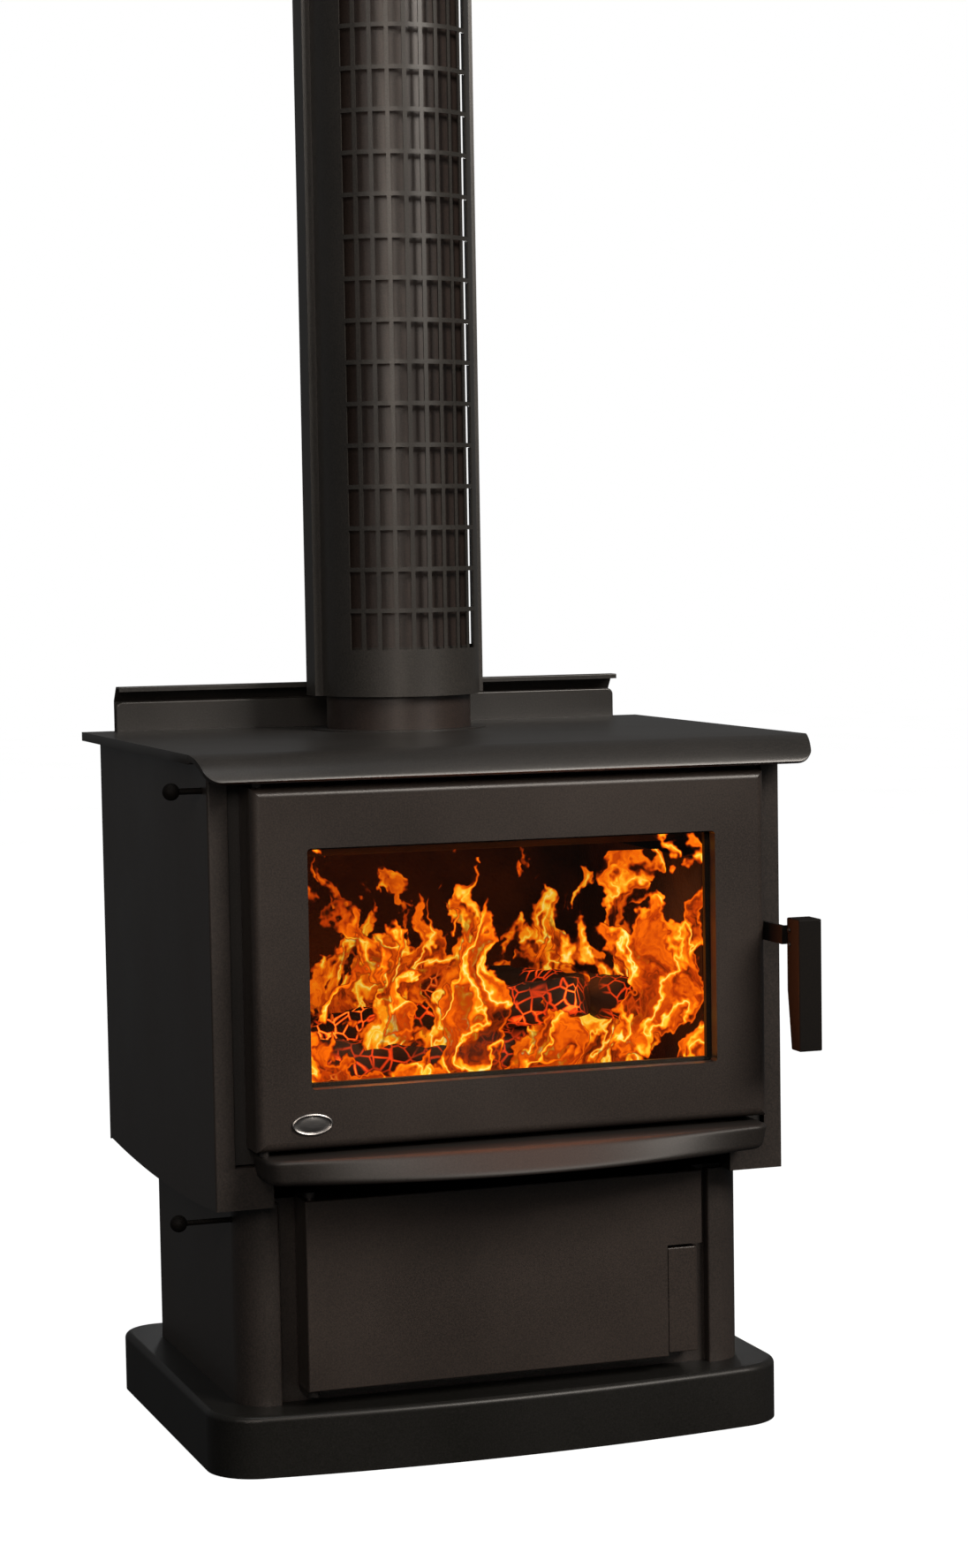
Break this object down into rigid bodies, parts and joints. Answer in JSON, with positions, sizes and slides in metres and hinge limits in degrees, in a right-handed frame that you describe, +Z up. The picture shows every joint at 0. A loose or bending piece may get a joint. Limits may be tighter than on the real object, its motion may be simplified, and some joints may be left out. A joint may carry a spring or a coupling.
{
  "type": "wood burning stove",
  "caption": "Freestanding pedestal wood burning stove with a glazed firebox door, lift latch handle, curved ash shelf, storage box door and a perforated half-round flue shield.",
  "frame": {"origin": "middle of the plinth's underside, on the floor", "axes": "+Z up along the flue, front with the doors towards -Y, +X to the right when looking at the front"},
  "size_m": [0.6372, 0.564, 1.92],
  "materials": {
    "satin_paint": "satin high-temperature paint with a fine metallic fleck",
    "black_enamel": "satin black paint",
    "flue_steel": "matt high-temperature paint on steel tube",
    "boiler_plate": "sooted steel plate",
    "air_tube_steel": "heat-tinted stainless tube",
    "firebrick": "porous refractory brick with soot",
    "ceramic_glass": "clear heat-proof glass",
    "ceramic_rope": "braided fibre rope",
    "badge_metal": "satin, raised rim",
    "grip_black": "smooth satin",
    "bright_steel": "turned, satin"
  },
  "bodies": {
    "stove": {"air_tube": "air_tube_steel", "airwash_duct": "boiler_plate", "ash_shelf": "satin_paint", "baffle": "boiler_plate", "brick_back": "firebrick", "brick_base": "firebrick", "brick_left": "firebrick", "brick_right": "firebrick", "casing_back": "satin_paint", "casing_base": "satin_paint", "casing_left": "satin_paint", "casing_right": "satin_paint", "firebox_back": "boiler_plate", "firebox_floor": "boiler_plate", "firebox_left": "boiler_plate", "firebox_right": "boiler_plate", "firebox_top": "boiler_plate", "flue_collar": "flue_steel", "flue_pipe": "flue_steel", "flue_ring": "satin_paint", "flue_shield": "satin_paint", "front_frame": "satin_paint", "hinge_lug_upper": "bright_steel", "hinge_pin_lower": "bright_steel", "latch_catch": "bright_steel", "log_guard": "boiler_plate", "pedestal_back": "satin_paint", "pedestal_left": "satin_paint", "pedestal_right": "satin_paint", "plinth": "black_enamel", "plinth_base": "black_enamel", "rear_deflector": "satin_paint", "rear_upstand": "satin_paint", "shield_band_1": "satin_paint", "shield_band_2": "satin_paint", "storage_ceiling": "satin_paint", "storage_floor": "satin_paint", "storage_frame": "satin_paint", "storage_pin_lower": "bright_steel", "storage_pin_upper": "bright_steel", "top_plate": "satin_paint"},
    "door": {"door_frame": "satin_paint", "door_glass": "ceramic_glass", "glass_tape": "ceramic_rope", "glass_retainer": "satin_paint", "door_rope": "ceramic_rope", "badge": "badge_metal"},
    "latch": {"latch_arm": "satin_paint", "latch_shaft": "bright_steel", "latch_cam": "bright_steel", "latch_grip": "grip_black", "grip_screw_1": "bright_steel", "grip_screw_2": "bright_steel"},
    "storage_leaf": {"storage_door": "satin_paint", "storage_pull": "satin_paint"},
    "upper_control": {"upper_rod": "bright_steel", "upper_knob": "bright_steel"},
    "lower_control": {"lower_rod": "bright_steel", "lower_knob": "bright_steel"}
  },
  "joints": [
    {"name": "door_swing", "type": "hinge", "parent": "stove", "child": "door", "pos_m": [-0.2475, -0.228, 0.4875], "axis": [0, 0, -1], "range_deg": [0, 105]},
    {"name": "latch_lift", "type": "hinge", "parent": "door", "child": "latch", "pos_m": [0.2575, -0.222, 0.499], "axis": [-1, 0, 0], "range_deg": [0, 45]},
    {"name": "storage_swing", "type": "hinge", "parent": "stove", "child": "storage_leaf", "pos_m": [-0.1945, -0.1895, 0.169], "axis": [0, 0, -1], "range_deg": [0, 100]},
    {"name": "airwash_slide", "type": "slide", "parent": "stove", "child": "upper_control", "axis": [-1, 0, 0], "range_m": [-0.008, 0.02]},
    {"name": "startup_air_slide", "type": "slide", "parent": "stove", "child": "lower_control", "axis": [-1, 0, 0], "range_m": [-0.03, 0.04]}
  ]
}
